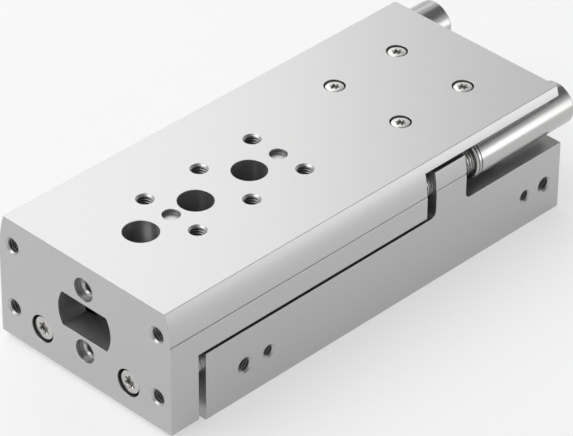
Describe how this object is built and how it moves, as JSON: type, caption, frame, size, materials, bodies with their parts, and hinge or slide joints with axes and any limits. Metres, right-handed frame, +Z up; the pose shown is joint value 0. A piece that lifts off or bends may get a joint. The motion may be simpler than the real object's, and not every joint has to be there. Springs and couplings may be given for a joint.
{
  "type": "pneumatic slide table",
  "caption": "Double-piston pneumatic slide table: a guided aluminium table with a front yoke moves along its housing between two shock absorbers.",
  "frame": {"origin": "centre of the flat mounting face under the housing, midway along the housing", "axes": "+X the direction in which the table advances, +Y towards the side with the air ports, +Z up, away from the mounting face"},
  "size_m": [0.1624, 0.0654, 0.04],
  "materials": {
    "aluminium_slide": "brushed, clear anodised",
    "aluminium_housing": "fine milled, clear anodised",
    "steel_hardened": "ground",
    "steel_bright": "polished",
    "steel_screw": "turned",
    "steel_spring": "black phosphate",
    "brass_bearing": "turned",
    "plastic_cap": "moulded",
    "rubber_seal": "moulded",
    "magnet": "sintered"
  },
  "bodies": {
    "housing_body": {"housing": "aluminium_housing", "guide_rail": "steel_hardened", "rail_screws": "steel_screw", "bearing_cartridge_left": "brass_bearing", "bearing_cartridge_right": "brass_bearing", "rod_seals": "rubber_seal", "rod_wipers": "rubber_seal", "cartridge_o_rings": "rubber_seal", "front_circlips": "steel_spring", "rear_cap_left": "aluminium_housing", "rear_cap_right": "aluminium_housing", "cap_o_rings": "rubber_seal", "rear_circlips": "steel_spring", "shock_absorber_right": "steel_bright", "advance_stop_button": "steel_hardened", "retract_stop_pin": "steel_bright"},
    "slide_body": {"slide": "aluminium_slide", "carriage_screws": "steel_screw", "rod_screws": "steel_screw", "guide_carriage": "steel_hardened", "carriage_end_cap_front": "plastic_cap", "carriage_end_cap_rear": "plastic_cap", "carriage_seal_front": "rubber_seal", "carriage_seal_rear": "rubber_seal", "guide_balls": "steel_bright", "piston_rod_left": "steel_bright", "piston_rod_right": "steel_bright", "piston_left": "aluminium_housing", "piston_right": "aluminium_housing", "piston_seals": "rubber_seal", "piston_magnets": "magnet", "piston_nuts": "steel_screw", "shock_absorber_left": "steel_bright", "return_stop_button": "steel_hardened"},
    "right_shock_pin": {"shock_pin_right": "steel_hardened"},
    "left_shock_pin": {"shock_pin_left": "steel_hardened"}
  },
  "joints": [
    {"name": "table_travel", "type": "slide", "parent": "housing_body", "child": "slide_body", "axis": [1, 0, 0], "range_m": [0, 0.08]},
    {"name": "right_shock_travel", "type": "slide", "parent": "housing_body", "child": "right_shock_pin", "axis": [1, 0, 0], "range_m": [0, 0.008]},
    {"name": "left_shock_travel", "type": "slide", "parent": "slide_body", "child": "left_shock_pin", "axis": [-1, 0, 0], "range_m": [0, 0.008]}
  ],
  "couplings": [
    {"joint": "right_shock_travel", "follows": "table_travel", "ratio": 0.1},
    {"joint": "left_shock_travel", "follows": "table_travel", "ratio": 0.1}
  ]
}
